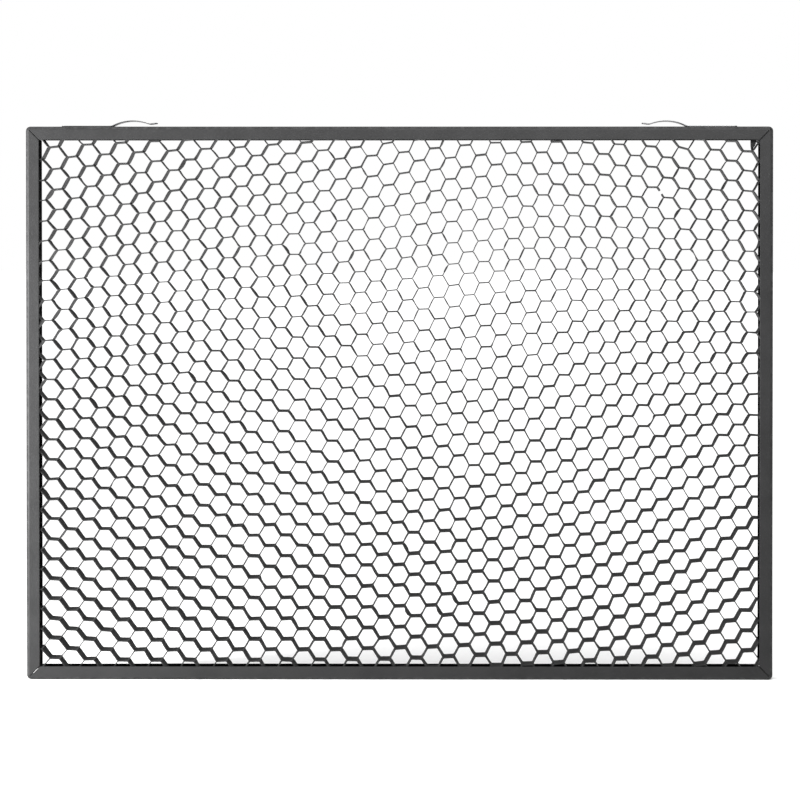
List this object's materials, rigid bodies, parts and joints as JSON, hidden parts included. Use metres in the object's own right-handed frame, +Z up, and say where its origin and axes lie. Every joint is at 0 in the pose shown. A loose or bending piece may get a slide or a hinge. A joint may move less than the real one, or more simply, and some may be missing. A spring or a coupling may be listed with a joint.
{
  "type": "honeycomb light-control grid",
  "caption": "Flat rectangular honeycomb grid in a thin metal channel frame, with two bowed leaf springs on its top edge; narrows the beam of an LED panel lamp.",
  "frame": {"origin": "middle of the underside of the bottom rail, halfway through the grid's depth", "axes": "+X to the right along the rails, +Z up, the front face towards -Y"},
  "size_m": [0.34, 0.012, 0.2548],
  "materials": {
    "channel_paint": "satin dark grey powder coat",
    "foil_paint": "matt black coated aluminium foil",
    "spring_steel": "rolled spring steel, dark grey",
    "bare_steel": "plain zinc-plated sheet"
  },
  "bodies": {
    "frame": {"frame_channel": "channel_paint", "closing_angle": "bare_steel", "left_leaf_base": "spring_steel", "right_leaf_base": "spring_steel", "foil_ribbons_01": "foil_paint", "foil_ribbons_02": "foil_paint", "foil_ribbons_03": "foil_paint", "foil_ribbons_04": "foil_paint", "foil_ribbons_05": "foil_paint", "foil_ribbons_06": "foil_paint", "foil_ribbons_07": "foil_paint", "foil_ribbons_08": "foil_paint", "foil_ribbons_09": "foil_paint", "foil_ribbons_10": "foil_paint", "foil_ribbons_11": "foil_paint", "foil_ribbons_12": "foil_paint", "foil_ribbons_13": "foil_paint", "foil_ribbons_14": "foil_paint", "foil_ribbons_15": "foil_paint", "foil_ribbons_16": "foil_paint", "foil_ribbons_17": "foil_paint", "foil_ribbons_18": "foil_paint", "foil_ribbons_19": "foil_paint", "foil_ribbons_20": "foil_paint", "foil_ribbons_21": "foil_paint", "foil_ribbons_22": "foil_paint", "foil_ribbons_23": "foil_paint", "foil_ribbons_24": "foil_paint", "foil_ribbons_25": "foil_paint", "foil_ribbons_26": "foil_paint", "foil_ribbons_27": "foil_paint", "foil_ribbons_28": "foil_paint"},
    "left_bow": {"left_leaf_bow": "spring_steel"},
    "left_toe": {"left_leaf_toe": "spring_steel"},
    "right_bow": {"right_leaf_bow": "spring_steel"},
    "right_toe": {"right_leaf_toe": "spring_steel"}
  },
  "joints": [
    {"name": "left_leaf_press", "type": "hinge", "parent": "frame", "child": "left_bow", "pos_m": [-0.131, 0, 0.2522], "axis": [0, 1, 0], "range_deg": [0, 6.5], "stiffness_Nm_per_rad": 1.3},
    {"name": "left_leaf_flatten", "type": "hinge", "parent": "left_bow", "child": "left_toe", "pos_m": [-0.1214, 0, 0.25464], "axis": [0, -1, 0], "range_deg": [0, 9.1]},
    {"name": "right_leaf_press", "type": "hinge", "parent": "frame", "child": "right_bow", "pos_m": [0.131, 0, 0.2522], "axis": [0, -1, 0], "range_deg": [0, 6.5], "stiffness_Nm_per_rad": 1.3},
    {"name": "right_leaf_flatten", "type": "hinge", "parent": "right_bow", "child": "right_toe", "pos_m": [0.1214, 0, 0.25464], "axis": [0, 1, 0], "range_deg": [0, 9.1]}
  ],
  "couplings": [
    {"joint": "left_leaf_flatten", "follows": "left_leaf_press", "ratio": 1.385},
    {"joint": "right_leaf_flatten", "follows": "right_leaf_press", "ratio": 1.385}
  ]
}
